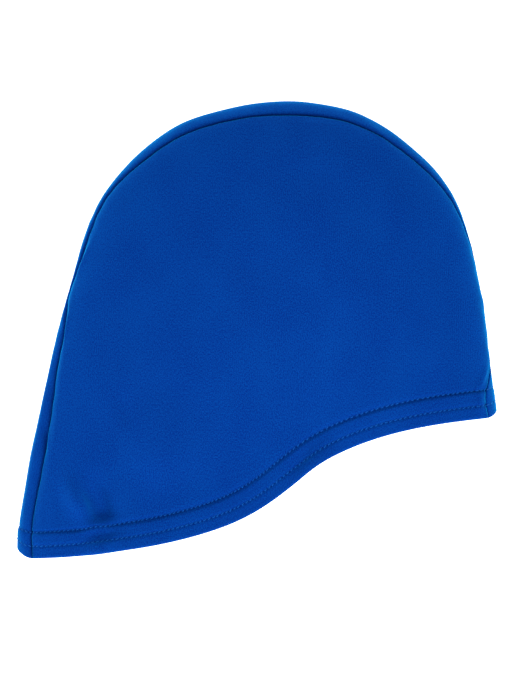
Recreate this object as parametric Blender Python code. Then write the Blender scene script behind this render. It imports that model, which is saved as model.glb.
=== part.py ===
"""A fabric swim cap lying on its left side, as it rests on a table by itself.

Two side panels are joined by a centre strip that runs from the front hem over the crown to the
nape hem. The hem is each panel's own edge, turned up inside. The forehead points along +X, the
crown along +Y, and the right side panel faces up.

Every panel is cut out of one skin, described by a flat map. The middle of the map is the cap seen
from above. Towards the outline the skin rolls over the cap's round edge, and the map's distances
follow the cloth round it.
"""

import math
from collections import namedtuple

import bmesh
import bpy
import numpy as np

# Overall sizes, in metres
CAP_LENGTH = 0.2108
CAP_HEIGHT = 0.2013
STRIP_WIDTH = 0.032
CROWN_EDGE_RISE = 0.0135
HEM_EDGE_RISE = 0.0115
EDGE_DROP_SHARE = 0.7

# Cloth and sewing
CLOTH = 0.0010
SEAM_GAP = 0.0003
HEM_DEPTH = 0.0125
HEM_LAYER_GAP = 0.0003

# Soft forms
DOME_RISE = 0.004
LIP_SAG = 0.0085
NAPE_HEM_SETBACK = 0.0042
FRONT_HEM_SETBACK = 0.0024
FOLD_RISE = 0.0018

# How far the edge's roundness reaches inwards, as a share of its own height
UPPER_ROUNDNESS = 2.0
LOWER_ROUNDNESS = 1.3

# How far the soft forms reach, as shares of the cap's length or height
EDGE_GROWTH_REACH = 0.60
DOME_REACH = 0.28
LIP_SAG_REACH = 0.27
SETBACK_REACH = 0.30
SETBACK_FADE = 0.12

# How far round onto the lower side the hem goes on being drawn up, as a share of the strip's
# reach over the upper side
SETBACK_ROLL = 1.3

# The knit's colours and finish
PANEL_BLUE = (0.003, 0.05, 0.35)
STRIP_BLUE = (0.003, 0.055, 0.37)
KNIT_ROUGHNESS = 0.8

# The edge of the cap seen from above, from the nape hem over the crown to the front hem.
# x is a share of the length and y of the height, from the middle of the cap. near is how far the
# strip reaches over the edge to its seam with the right panel, and far how far it reaches down to
# its seam with the left panel, both shares of STRIP_WIDTH, measured along the cloth.
EdgeRow = namedtuple("EdgeRow", "x y near far")
EDGE = [
    EdgeRow(-0.4993, -0.4988, 0.34, 0.66),
    EdgeRow(-0.4980, -0.4376, 0.31, 0.68),
    EdgeRow(-0.4897, -0.3721, 0.30, 0.70),
    EdgeRow(-0.4709, -0.2628, 0.30, 0.70),
    EdgeRow(-0.4486, -0.1536, 0.24, 0.75),
    EdgeRow(-0.4304, -0.0661, 0.19, 0.80),
    EdgeRow(-0.4108, 0.0169, 0.15, 0.83),
    EdgeRow(-0.3962, 0.0737, 0.04, 0.85),
    EdgeRow(-0.3803, 0.1349, 0.10, 0.86),
    EdgeRow(-0.3603, 0.2070, 0.145, 0.845),
    EdgeRow(-0.3269, 0.2835, 0.145, 0.81),
    EdgeRow(-0.2616, 0.3709, 0.235, 0.76),
    EdgeRow(-0.1612, 0.4487, 0.30, 0.70),
    EdgeRow(-0.0569, 0.4850, 0.32, 0.68),
    EdgeRow(0.0579, 0.4992, 0.34, 0.66),
    EdgeRow(0.1351, 0.4933, 0.33, 0.67),
    EdgeRow(0.1998, 0.4769, 0.31, 0.69),
    EdgeRow(0.2568, 0.4489, 0.29, 0.71),
    EdgeRow(0.3092, 0.4103, 0.26, 0.74),
    EdgeRow(0.3542, 0.3676, 0.235, 0.775),
    EdgeRow(0.4022, 0.3054, 0.18, 0.83),
    EdgeRow(0.4356, 0.2267, 0.10, 0.88),
    EdgeRow(0.4511, 0.1633, 0.035, 0.92),
    EdgeRow(0.4713, 0.0650, 0.012, 0.93),
    EdgeRow(0.4836, -0.0334, 0.016, 0.92),
    EdgeRow(0.4884, -0.0924, 0.09, 0.88),
    EdgeRow(0.4938, -0.1317, 0.24, 0.79),
    EdgeRow(0.5005, -0.1906, 0.25, 0.75),
]

# The hem's edge between its two seams, from the nape to the front, as shares of length and height
HemRow = namedtuple("HemRow", "x y")
HEM = [
    HemRow(-0.3699, -0.4923),
    HemRow(-0.2864, -0.4818),
    HemRow(-0.2029, -0.4678),
    HemRow(-0.1195, -0.4468),
    HemRow(-0.0360, -0.4150),
    HemRow(0.0475, -0.3612),
    HemRow(0.1309, -0.2936),
    HemRow(0.2144, -0.2497),
    HemRow(0.2979, -0.2228),
    HemRow(0.3814, -0.2056),
]

# The folds of the upper side. x and y place the middle of each one and lean turns it from
# upright, in degrees. half_length and half_width are shares of the cap's length, and rise is a
# share of FOLD_RISE, below nothing for a valley.
FoldRow = namedtuple("FoldRow", "x y lean half_length half_width rise")
FOLDS = [
    FoldRow(-0.337, -0.378, -6, 0.036, 0.030, -0.70),
    FoldRow(-0.325, -0.487, -6, 0.040, 0.032, 2.00),
    FoldRow(-0.215, -0.235, -10, 0.075, 0.065, 0.90),
    FoldRow(-0.412, -0.378, -4, 0.045, 0.010, -0.35),
    FoldRow(-0.375, -0.385, -2, 0.050, 0.018, 0.50),
    FoldRow(-0.448, -0.235, -12, 0.032, 0.012, -0.50),
    FoldRow(0.114, -0.297, 40, 0.045, 0.022, 1.50),
]

UPPER = 1
LOWER = -1

# How finely the cloth is divided
ACROSS = 46
UP = 12
STRIP_COLUMNS = 9
HEM_ROWS = 3
FOLD_STEPS = 4
CORNER_CROWDING = 0.55
SEAM_CROWDING = 0.62
EDGE_SAMPLES = 500
EDGE_OVERRUN = 0.1
PROFILE_SAMPLES = 121
FOOT_STEPS = 4
NORMAL_STEP = 0.00005
SAME_POINT = 0.000001
SKEWED = 0.9
SHARP_ANGLE = math.radians(50)


def smooth_through(places, values):
    """A natural cubic spline through values at places, straight beyond both ends.

    The function it returns gives the value and the slope at each place asked for.
    """
    places = np.asarray(places, float)
    values = np.asarray(values, float).reshape(len(places), -1)
    steps = np.diff(places)
    slopes = np.diff(values, axis=0) / steps[:, None]
    equations = np.eye(len(places))
    bends = np.zeros_like(values)
    for i in range(1, len(places) - 1):
        equations[i, i - 1:i + 2] = (steps[i - 1], 2 * (steps[i - 1] + steps[i]), steps[i])
        bends[i] = 6 * (slopes[i] - slopes[i - 1])
    bends = np.linalg.solve(equations, bends)

    def at(where):
        where = np.atleast_1d(np.asarray(where, float))
        held = np.clip(where, places[0], places[-1])
        i = np.clip(np.searchsorted(places, held) - 1, 0, len(steps) - 1)
        step = steps[i][:, None]
        right = (held - places[i])[:, None] / step
        left = 1 - right
        bend = (left ** 3 - left) * bends[i] + (right ** 3 - right) * bends[i + 1]
        value = left * values[i] + right * values[i + 1] + bend * step ** 2 / 6
        turn = (1 - 3 * left ** 2) * bends[i] + (3 * right ** 2 - 1) * bends[i + 1]
        slope = slopes[i] + turn * step / 6
        return value + slope * (where - held)[:, None], slope

    return at


def ease(share):
    """Rises smoothly from 0 to 1 as share does."""
    share = np.clip(share, 0, 1)
    return share * share * (3 - 2 * share)


def lengths_along(points):
    """The distance along a row of points to each of them."""
    return np.concatenate([[0], np.cumsum(np.linalg.norm(np.diff(points, axis=0), axis=1))])


# The edge of the cap and the strip's seams along it
EDGE_POINTS = np.array([(row.x * CAP_LENGTH, row.y * CAP_HEIGHT) for row in EDGE])
EDGE_PLACES = lengths_along(EDGE_POINTS)
EDGE_END = EDGE_PLACES[-1]
edge_line = smooth_through(EDGE_PLACES, EDGE_POINTS)
near_seam_share = smooth_through(EDGE_PLACES, [row.near for row in EDGE])
far_seam_share = smooth_through(EDGE_PLACES, [row.far for row in EDGE])

# The straight line between the two ends of the hem, and the hem's height over it
CHORD_START = EDGE_POINTS[0]
CHORD = EDGE_POINTS[-1] - EDGE_POINTS[0]
CHORD_LENGTH = np.linalg.norm(CHORD)
CHORD_ALONG = CHORD / CHORD_LENGTH
CHORD_UP = np.array((-CHORD_ALONG[1], CHORD_ALONG[0]))


def over_chord(points):
    """Distances along and above the line between the hem's ends."""
    offset = points - CHORD_START
    return offset @ CHORD_ALONG, offset @ CHORD_UP


def hem_points():
    """The hem's middle points, from the table."""
    return np.array([(row.x * CAP_LENGTH, row.y * CAP_HEIGHT) for row in HEM])


def hem_over_chord():
    """The hem's height over the chord, as a smooth function of the distance along it."""
    along, up = over_chord(np.vstack([EDGE_POINTS[:1], hem_points(), EDGE_POINTS[-1:]]))
    return smooth_through(along, up)


hem_height_at = hem_over_chord()


def edge_frame(places):
    """Points of the edge at these distances along it, and the directions into the cap there."""
    points, slopes = edge_line(places)
    slopes = slopes / np.linalg.norm(slopes, axis=1)[:, None]
    inward = np.stack([slopes[:, 1], -slopes[:, 0]], axis=1)
    return points, inward


def nearest_on_edge(points):
    """The distance along the edge, or past its ends, to the place nearest each point."""
    samples = np.linspace(-EDGE_OVERRUN, 1 + EDGE_OVERRUN, EDGE_SAMPLES) * EDGE_END
    sampled, _ = edge_line(samples)
    apart = ((points[:, None, :] - sampled[None, :, :]) ** 2).sum(axis=2)
    places = samples[apart.argmin(axis=1)]
    for _ in range(FOOT_STEPS):
        on_edge, slopes = edge_line(places)
        ahead = ((points - on_edge) * slopes).sum(axis=1)
        places = places + ahead / (slopes ** 2).sum(axis=1)
    return places


def edge_rise(points):
    """How high the cap's upper side rises over its edge line, seen from above at these points."""
    _, up = over_chord(points)
    growth = ease(up / (EDGE_GROWTH_REACH * CAP_HEIGHT))
    return HEM_EDGE_RISE + (CROWN_EDGE_RISE - HEM_EDGE_RISE) * growth


def edge_profile(roundness):
    """The section of the cap's edge: an upright quarter ellipse 1 high and as wide as roundness.

    Returns the length of its curve, and a smooth function that gives how far in and how high
    the curve is at each distance along it.
    """
    turns = np.linspace(-math.pi / 2, math.pi / 2, PROFILE_SAMPLES)
    points = np.column_stack([roundness * (1 - np.cos(turns)), np.sin(turns)])
    places = lengths_along(points)
    length = places[-1] / 2
    return length, smooth_through(places - length, points)


Profile = namedtuple("Profile", "roundness height length at")
PROFILES = {
    UPPER: Profile(UPPER_ROUNDNESS, 1, *edge_profile(UPPER_ROUNDNESS)),
    LOWER: Profile(LOWER_ROUNDNESS, EDGE_DROP_SHARE, *edge_profile(LOWER_ROUNDNESS)),
}


def fold_height(points):
    """The height that the folds add at these points."""
    height = np.zeros(len(points))
    for fold in FOLDS:
        offset = points - np.array((fold.x * CAP_LENGTH, fold.y * CAP_HEIGHT))
        lean = math.radians(fold.lean)
        along = offset @ np.array((math.sin(lean), math.cos(lean)))
        across = offset @ np.array((math.cos(lean), -math.sin(lean)))
        spread = (along / fold.half_length) ** 2 + (across / fold.half_width) ** 2
        height += FOLD_RISE * fold.rise * np.exp(-spread / CAP_LENGTH ** 2)
    return height


def upper_height(points, inside):
    """What the upper side has over its edge's rise: the dome, the sagging lip and the folds."""
    along, up = over_chord(points)
    hem_height, _ = hem_height_at(along)
    above_hem = up - hem_height[:, 0]
    middle = np.sin(math.pi * np.clip(along / CHORD_LENGTH, 0, 1)) ** 2
    fading = np.exp(-(above_hem / (LIP_SAG_REACH * CAP_HEIGHT)) ** 2)
    dome = DOME_RISE * ease(inside / (DOME_REACH * CAP_LENGTH))
    return dome - LIP_SAG * middle * fading + fold_height(points)


def skin(points, side):
    """The outer surface over these points of the flat map, on the upper or the lower side."""
    profile = PROFILES[side]
    edge_points, inward = edge_frame(nearest_on_edge(points))
    depth = ((points - edge_points) * inward).sum(axis=1)
    size = edge_rise(edge_points) * profile.height
    along = depth / size - profile.roundness + profile.length
    shape, _ = profile.at(np.minimum(along, profile.length))
    rounded = along < profile.length
    inside = np.where(rounded, size * shape[:, 0], depth)
    plan = np.where(rounded[:, None], edge_points + inward * inside[:, None], points)
    rise = edge_rise(plan)
    height = rise * (EDGE_DROP_SHARE + side * profile.height * shape[:, 1])
    if side == UPPER:
        height = height + upper_height(plan, inside) * shape[:, 1] ** 2
    return np.column_stack([plan, height])


def cloth(points, side, depth):
    """Points this deep under the outer surface, towards the inside of the cap."""
    right = np.array((NORMAL_STEP, 0))
    up = np.array((0, NORMAL_STEP))
    across = skin(points + right, side) - skin(points - right, side)
    along = skin(points + up, side) - skin(points - up, side)
    outward = side * np.cross(across, along)
    outward /= np.linalg.norm(outward, axis=1)[:, None]
    return skin(points, side) - outward * depth


def seam_reach(places, side):
    """How far the strip reaches from the edge onto that side, along the cloth."""
    share = near_seam_share if side == UPPER else far_seam_share
    return STRIP_WIDTH * share(places)[0][:, 0]


def hem_setback(places, reach):
    """How far the strip's cloth is drawn up from the hem as it rolls over to the lower side.

    reach is the distance along the cloth from the edge, above nothing on the upper side.
    """
    near = np.maximum(seam_reach(places, UPPER), CLOTH)
    rolled = np.clip((near - reach) / (SETBACK_ROLL * near), 0, 1)
    drawn = np.sin(math.pi / 2 * rolled) ** 2
    fade = SETBACK_FADE * CAP_HEIGHT
    at_nape = NAPE_HEM_SETBACK * ease(1 - places / fade)
    at_front = FRONT_HEM_SETBACK * ease(1 - (EDGE_END - places) / fade)
    return drawn * (at_nape - at_front)


def strip_map(places, reach):
    """The flat map's points of the strip, at these places along it and distances from the edge."""
    drawn = places + hem_setback(places, reach)
    edge_points, inward = edge_frame(drawn)
    rise = edge_rise(edge_points)
    upper, lower = PROFILES[UPPER], PROFILES[LOWER]
    over = upper.height * (upper.roundness - upper.length)
    under = lower.height * (lower.roundness - lower.length)
    depth = rise * np.where(reach >= 0, over, under) + np.abs(reach)
    return edge_points + inward * depth[:, None]


def seam_map(places, side):
    """The flat map's points of a side panel's seam edge, half a seam gap from the strip's."""
    reach = seam_reach(places, side) + SEAM_GAP / 2
    return strip_map(places, side * reach)


def shares_across():
    """Shares of the way from the nape's seam to the front's, closer together near both."""
    share = np.linspace(0, 1, ACROSS + 1)
    return share - CORNER_CROWDING * np.sin(2 * math.pi * share) / (2 * math.pi)


def shares_up():
    """Shares of the way from the hem up to the seam, closer together near the seam."""
    share = np.linspace(0, 1, UP + 1)
    return share + SEAM_CROWDING * np.sin(math.pi * share) / math.pi


def seam_places():
    """Distances along the edge from the top of the nape's hem to the top of the front's."""
    return HEM_DEPTH + (EDGE_END - 2 * HEM_DEPTH) * shares_across()


# One row of cloth: its distances from the hem's edge and its depths, on the outside and inside
ClothRow = namedtuple("ClothRow", "outer_rise outer_depth inner_rise inner_depth")


def hem_rows():
    """The rows of the turned-up hem, from the raw edge inside, round the fold and up the panel."""
    bend = CLOTH + HEM_LAYER_GAP / 2
    inner_bend = HEM_LAYER_GAP / 2
    rises = np.linspace(HEM_DEPTH, bend, HEM_ROWS)
    rows = [ClothRow(rise, bend * 2, rise, bend + inner_bend) for rise in rises]
    for i in range(1, FOLD_STEPS):
        turn = math.pi * (1 - i / FOLD_STEPS)
        sine, cosine = math.sin(turn), math.cos(turn)
        rows.append(ClothRow(bend * (1 - sine), bend * (1 - cosine),
                             bend - inner_bend * sine, bend - inner_bend * cosine))
    rows += [ClothRow(rise, 0, rise, CLOTH) for rise in rises[::-1]]
    return rows


def panel_hem_map(rise, side, shares):
    """The flat map's points of a side panel at one distance from its hem's edge."""
    first = seam_map(np.array([0.0]), side)
    last = seam_map(np.array([EDGE_END]), side)
    middle = hem_points()
    if side == LOWER:
        setback = np.linspace(NAPE_HEM_SETBACK, FRONT_HEM_SETBACK, len(middle))
        middle = middle + CHORD_UP * setback[:, None]
    line = np.vstack([first, middle, last])
    places = lengths_along(line)
    points, slopes = smooth_through(places, line)(shares * places[-1])
    slopes /= np.linalg.norm(slopes, axis=1)[:, None]
    raised = points + rise * np.stack([-slopes[:, 1], slopes[:, 0]], axis=1)
    start_miss = seam_map(np.array([rise]), side) - raised[:1]
    end_miss = seam_map(np.array([EDGE_END - rise]), side) - raised[-1:]
    near_start = ease(1 - shares / SETBACK_REACH)[:, None]
    near_end = ease(1 - (1 - shares) / SETBACK_REACH)[:, None]
    return raised + start_miss * near_start + end_miss * near_end


def panel_field_maps(side):
    """The flat map's rows of a side panel between its hem and the seam.

    They fan out from the seam's lowest point at the nape and meet again at the front.
    """
    bottom = panel_hem_map(HEM_DEPTH, side, shares_across())
    top = seam_map(seam_places(), side)
    return [bottom + (top - bottom) * up for up in shares_up()[1:]]


def sheet_mesh(name, outer, inner, turned):
    """One closed cloth mesh from the grids of its outer and inner points.

    The faces of the turned-up rows are split the other way, like those of the layer they lie on,
    and a skewed face is split along its shorter diagonal.
    """
    rows, columns = outer.shape[:2]
    points = np.concatenate([outer.reshape(-1, 3), inner.reshape(-1, 3)])
    under = rows * columns

    def at(i, j):
        return i * columns + j

    faces = []
    for i in range(rows - 1):
        for j in range(columns - 1):
            a, b, c, d = at(i, j), at(i, j + 1), at(i + 1, j + 1), at(i + 1, j)
            if i in turned:
                a, b, c, d = b, c, d, a
            if np.linalg.norm(points[b] - points[d]) < SKEWED * np.linalg.norm(points[a] - points[c]):
                a, b, c, d = b, c, d, a
            faces += [(a, b, c), (a, c, d)]
            faces += [(a + under, c + under, b + under), (a + under, d + under, c + under)]
    rim = [at(0, j) for j in range(columns)]
    rim += [at(i, columns - 1) for i in range(1, rows)]
    rim += [at(rows - 1, j) for j in range(columns - 2, -1, -1)]
    rim += [at(i, 0) for i in range(rows - 2, 0, -1)]
    for a, b in zip(rim, rim[1:] + rim[:1]):
        faces += [(b, a, a + under), (b, a + under, b + under)]
    mesh = bpy.data.meshes.new(name)
    mesh.from_pydata(points.tolist(), [], faces)
    shape = bmesh.new()
    shape.from_mesh(mesh)
    bmesh.ops.remove_doubles(shape, verts=shape.verts, dist=SAME_POINT)
    shape.to_mesh(mesh)
    shape.free()
    return mesh


def side_panel(name, side):
    """A side panel: the rows of its hem, then the rows of its field up to the seam."""
    shares = shares_across()
    outer = []
    inner = []
    for row in hem_rows():
        outer.append(cloth(panel_hem_map(row.outer_rise, side, shares), side, row.outer_depth))
        inner.append(cloth(panel_hem_map(row.inner_rise, side, shares), side, row.inner_depth))
    for points in panel_field_maps(side):
        outer.append(cloth(points, side, 0))
        inner.append(cloth(points, side, CLOTH))
    outer, inner = np.array(outer), np.array(inner)
    if side == LOWER:
        outer, inner = outer[:, ::-1], inner[:, ::-1]
    return sheet_mesh(name, outer, inner, range(HEM_ROWS - 1))


def strip_cloth(place, depth):
    """A row of the strip's points across it, at one place along it and one depth in the cloth."""
    places = np.full(STRIP_COLUMNS + 1, place)
    near = seam_reach(places, UPPER) - SEAM_GAP / 2
    far = seam_reach(places, LOWER) - SEAM_GAP / 2
    reach = near + (-far - near) * np.linspace(0, 1, STRIP_COLUMNS + 1)
    points = strip_map(places, reach)
    on_upper = cloth(points, UPPER, depth)
    on_lower = cloth(points, LOWER, depth)
    return np.where((reach >= 0)[:, None], on_upper, on_lower)


def centre_strip(name):
    """The centre strip, divided along its length where the side panels' seam edges are."""
    outer = [strip_cloth(row.outer_rise, row.outer_depth) for row in hem_rows()]
    inner = [strip_cloth(row.inner_rise, row.inner_depth) for row in hem_rows()]
    for place in seam_places()[1:-1]:
        outer.append(strip_cloth(place, 0))
        inner.append(strip_cloth(place, CLOTH))
    for row in reversed(hem_rows()):
        outer.append(strip_cloth(EDGE_END - row.outer_rise, row.outer_depth))
        inner.append(strip_cloth(EDGE_END - row.inner_rise, row.inner_depth))
    turned = [*range(HEM_ROWS - 1), *range(len(outer) - HEM_ROWS, len(outer) - 1)]
    return sheet_mesh(name, np.array(outer)[:, ::-1], np.array(inner)[:, ::-1], turned)


def blue_knit(name, colour):
    """A matt knitted cloth's material."""
    material = bpy.data.materials.new(name)
    material.use_nodes = True
    shader = material.node_tree.nodes["Principled BSDF"]
    shader.inputs["Base Color"].default_value = (*colour, 1)
    shader.inputs["Roughness"].default_value = KNIT_ROUGHNESS
    shader.inputs["Metallic"].default_value = 0
    return material


def place(mesh, material):
    """Adds a piece to the scene."""
    mesh.materials.append(material)
    mesh.shade_smooth()
    mesh.set_sharp_from_angle(angle=SHARP_ANGLE)
    piece = bpy.data.objects.new(mesh.name, mesh)
    bpy.context.scene.collection.objects.link(piece)
    return piece


def main():
    for old in list(bpy.data.objects):
        bpy.data.objects.remove(old)
    place(side_panel("right_side_panel", UPPER), blue_knit("right_panel_knit", PANEL_BLUE))
    place(side_panel("left_side_panel", LOWER), blue_knit("left_panel_knit", PANEL_BLUE))
    place(centre_strip("centre_strip"), blue_knit("strip_knit", STRIP_BLUE))


main()
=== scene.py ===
"""The looks of a fabric swim cap that lies on its left side, seen from straight above.

Each of the three cloth panels replaces its CAD node. It has the same shape and is divided finely
enough for its rolled seam edges, its stitched hem and its folds. The shape is worked out from a
flat map of each side: the cap's plan, with the cloth that rolls over the edge laid flat past it.
Threads are meshes of their own. The cap's forehead points along +X and its crown along +Y.
"""

import math
from collections import namedtuple

import bmesh
import bpy
import numpy as np
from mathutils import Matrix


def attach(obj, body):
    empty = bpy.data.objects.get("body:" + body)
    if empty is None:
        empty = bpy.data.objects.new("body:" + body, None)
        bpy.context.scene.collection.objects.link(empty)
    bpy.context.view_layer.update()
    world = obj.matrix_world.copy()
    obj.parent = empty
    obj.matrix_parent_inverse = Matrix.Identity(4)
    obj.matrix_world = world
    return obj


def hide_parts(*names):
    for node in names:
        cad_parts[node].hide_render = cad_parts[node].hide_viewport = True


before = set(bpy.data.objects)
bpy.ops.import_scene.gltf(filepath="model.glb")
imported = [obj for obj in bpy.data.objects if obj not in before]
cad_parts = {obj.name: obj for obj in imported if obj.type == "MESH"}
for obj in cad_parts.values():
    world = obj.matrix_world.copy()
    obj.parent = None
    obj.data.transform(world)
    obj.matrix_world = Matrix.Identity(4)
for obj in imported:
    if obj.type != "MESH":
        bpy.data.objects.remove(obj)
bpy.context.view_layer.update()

# The CAD model's sizes, in metres
CAP_LENGTH = 0.2108
CAP_HEIGHT = 0.2013
STRIP_WIDTH = 0.032
CLOTH = 0.0010
DOME_RISE = 0.004
LIP_SAG = 0.0085
FOLD_RISE = 0.0018

# How high the upper side rises over the edge line, and the share of it that the lower side drops
CROWN_EDGE_RISE = 0.0135
HEM_EDGE_RISE = 0.0115
EDGE_DROP_SHARE = 0.7

# How far the hem is drawn up on the lower side, at both of its ends
NAPE_HEM_SETBACK = 0.0042
FRONT_HEM_SETBACK = 0.0024

# How wide the edge's rounding is for its height on each side
UPPER_ROUNDNESS = 2.0
LOWER_ROUNDNESS = 1.3

# How far each form reaches, as a share of the cap's length or height, of the way along the hem for
# SETBACK_REACH, or of the strip's reach over the upper side for SETBACK_ROLL
EDGE_GROWTH_REACH = 0.60
DOME_REACH = 0.28
LIP_SAG_REACH = 0.27
SETBACK_REACH = 0.30
SETBACK_FADE = 0.12
SETBACK_ROLL = 1.3

# The hem: how deep it is turned up, the heights of its two rows of stitches and how far it flares
# at its two ends, and how deep the rows and the fold under the upper one press in
HEM_DEPTH = 0.0131
HEM_LAYER_GAP = 0.0003
AtEnds = namedtuple("AtEnds", "nape front")
LOWER_ROW = AtEnds(0.0056, 0.0058)
UPPER_ROW = AtEnds(0.0119, 0.0127)
HEM_FLARE = AtEnds(0.00045, 0.00010)
FLARE_FADE = 0.0016
ROW_DEPTH = 0.00015
ROW_WIDTH = 0.0008
VALLEY_DEPTH = 0.00046
VALLEY_DROP = 0.0003
VALLEY_WIDTH = 0.0010
ROW_SQUEEZE = 0.00030
STRIP_ROW_SHARE = 0.35

# The seams: they pull the cloth in, its edges roll in to each other, and it puckers beside them.
# At the front the thick end of the seam stands out of the hem, on the panel's side.
SEAM_GAP = 0.00004
DIP_DEPTH = 0.0020
DIP_POWER = 1.6
PANEL_FLANK = 0.0048
STRIP_FLANK = 0.0030
GROOVE_DEPTH = 0.0010
GROOVE_WIDTH = 0.0011
PUCKER_HEIGHT = 0.00012
PUCKER_REACH = 0.0045
BULK_HEIGHT = 0.0007
BULK_REACH = 0.0050
FRONT_REACH = 0.024

# How strongly the right panel's seam pulls the cloth in, at shares of the way along the edge: on
# the strip's side and the panel's, and how far the pull reaches on the strip
Pulls = namedtuple("Pulls", "place strip panel flank")
PULLS = Pulls(*zip(
    (0.000, 0.25, 0.15, 0.0035),
    (0.050, 1.00, 0.50, 0.0056),
    (0.100, 1.60, 0.95, 0.0066),
    (0.165, 1.60, 1.05, 0.0056),
    (0.205, 0.60, 0.85, 0.0040),
    (0.235, 0.20, 0.85, 0.0030),
    (0.265, 0.05, 0.55, 0.0022),
    (0.320, 0.10, 0.45, 0.0018),
    (0.450, 0.30, 0.25, 0.0020),
    (0.600, 0.30, 0.25, 0.0020),
    (0.760, 0.30, 0.20, 0.0022),
    (0.840, 0.05, 0.08, 0.0015),
    (1.000, 0.00, 0.00, 0.0015),
))

# How strongly the left panel's seam pulls, and how far the right one's painted shade is put off in
# metres where the panel is drawn in more than the strip, so that the painted shade is fainter there
LOWER_PULL = 0.25
PAINTED_SEAM_SHADE_OFFSET = 0.0022

# The seam allowances inside, which the overlock threads wrap
ALLOWANCE_WIDTH = 0.0050
ALLOWANCE_THICKNESS = 0.0014
ALLOWANCE_START = 0.0006
OVERLOCK_PITCH = 0.0023

# Soft unevenness all over the cloth
MOTTLE_HEIGHT = 0.00013

# The threads, and how far a stitch's middle stands out of the cloth and its ends go into it
THREAD_RADIUS = 0.00018
THREAD_SIDES = 6
INNER_THREAD_SIDES = 4
ZIGZAG_SAMPLES = 8
PITCH = 0.0021
STITCH_SHARE = 0.60
STITCH_SLANT = 0.0006
STITCH_SAMPLES = 7
STITCH_UNEVENNESS = 0.10
LOWER_LIFT = 0.00013
UPPER_LIFT = 0.00005
THREAD_BURY = 0.00045

# The edge of the cap seen from above, from the nape hem over the crown to the front hem.
# x is a share of the length and y of the height, from the middle of the cap. near is how far the
# strip reaches over the edge to its seam with the right panel, and far how far it reaches down to
# its seam with the left panel, both shares of STRIP_WIDTH, measured along the cloth.
EdgeRow = namedtuple("EdgeRow", "x y near far")
EDGE = [EdgeRow(*row) for row in (
    (-0.4993, -0.4988, 0.34, 0.66),
    (-0.4980, -0.4376, 0.31, 0.68),
    (-0.4897, -0.3721, 0.30, 0.70),
    (-0.4709, -0.2628, 0.30, 0.70),
    (-0.4486, -0.1536, 0.24, 0.75),
    (-0.4304, -0.0661, 0.19, 0.80),
    (-0.4108, 0.0169, 0.15, 0.83),
    (-0.3962, 0.0737, 0.04, 0.85),
    (-0.3803, 0.1349, 0.10, 0.86),
    (-0.3603, 0.2070, 0.145, 0.845),
    (-0.3269, 0.2835, 0.145, 0.81),
    (-0.2616, 0.3709, 0.235, 0.76),
    (-0.1612, 0.4487, 0.30, 0.70),
    (-0.0569, 0.4850, 0.32, 0.68),
    (0.0579, 0.4992, 0.34, 0.66),
    (0.1351, 0.4933, 0.33, 0.67),
    (0.1998, 0.4769, 0.31, 0.69),
    (0.2568, 0.4489, 0.29, 0.71),
    (0.3092, 0.4103, 0.26, 0.74),
    (0.3542, 0.3676, 0.235, 0.775),
    (0.4022, 0.3054, 0.18, 0.83),
    (0.4356, 0.2267, 0.10, 0.88),
    (0.4511, 0.1633, 0.035, 0.92),
    (0.4713, 0.0650, 0.012, 0.93),
    (0.4836, -0.0334, 0.016, 0.92),
    (0.4884, -0.0924, 0.09, 0.88),
    (0.4938, -0.1317, 0.24, 0.79),
    (0.5005, -0.1906, 0.25, 0.75),
)]

# The hem's edge between its two seams, from the nape to the front, as shares of length and height
HEM = (
    (-0.3699, -0.4923),
    (-0.2864, -0.4818),
    (-0.2029, -0.4678),
    (-0.1195, -0.4468),
    (-0.0360, -0.4150),
    (0.0475, -0.3612),
    (0.1309, -0.2936),
    (0.2144, -0.2497),
    (0.2979, -0.2228),
    (0.3814, -0.2056),
)

# The folds of the upper side. x and y place the middle of each one and lean turns it from
# upright, in degrees. half_length and half_width are shares of the cap's length, and rise is a
# share of FOLD_RISE, below nothing for a valley.
FoldRow = namedtuple("FoldRow", "x y lean half_length half_width rise")
FOLDS = [FoldRow(*row) for row in (
    (-0.337, -0.378, -6, 0.036, 0.030, -0.70),
    (-0.325, -0.487, -6, 0.040, 0.032, 2.00),
    (-0.215, -0.235, -10, 0.075, 0.065, 0.90),
    (-0.412, -0.378, -4, 0.045, 0.010, -0.35),
    (-0.375, -0.385, -2, 0.050, 0.018, 0.50),
    (-0.448, -0.235, -12, 0.032, 0.012, -0.50),
    (0.114, -0.297, 40, 0.045, 0.022, 1.50),
)]

# Finer folds, which only show here: creases where the seam goes over the edge, and the hem's roll
FINE_FOLDS = [FoldRow(*row) for row in (
    (-0.371, 0.152, 26, 0.036, 0.006, 0.50),
    (-0.405, 0.004, 8, 0.040, 0.006, 0.50),
    (-0.275, -0.168, -10, 0.035, 0.018, -0.40),
    (-0.364, -0.385, -30, 0.052, 0.019, 1.45),
    (-0.324, -0.376, -30, 0.050, 0.022, -1.10),
    (-0.330, -0.402, -10, 0.018, 0.026, -0.75),
    (-0.328, -0.427, -10, 0.013, 0.030, 0.80),
    (-0.317, -0.443, -20, 0.014, 0.030, -0.95),
    (-0.213, -0.285, -10, 0.045, 0.055, 0.50),
    (-0.324, -0.470, -20, 0.015, 0.030, 0.55),
    (-0.451, -0.241, -6, 0.028, 0.005, -0.40),
    (-0.440, -0.240, -6, 0.026, 0.0045, 0.25),
    (0.087, -0.290, 38, 0.034, 0.014, -0.45),
    (0.471, -0.108, 32, 0.028, 0.007, 0.50),
    (0.463, -0.162, 4, 0.030, 0.008, 0.45),
    (-0.090, -0.395, 62, 0.045, 0.020, 0.20),
    (-0.025, -0.405, 50, 0.040, 0.014, -0.20),
)]
FINE_FOLD_FADE = 0.006

# The two sides of the cap as it lies
UPPER = 1
LOWER = -1

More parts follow.
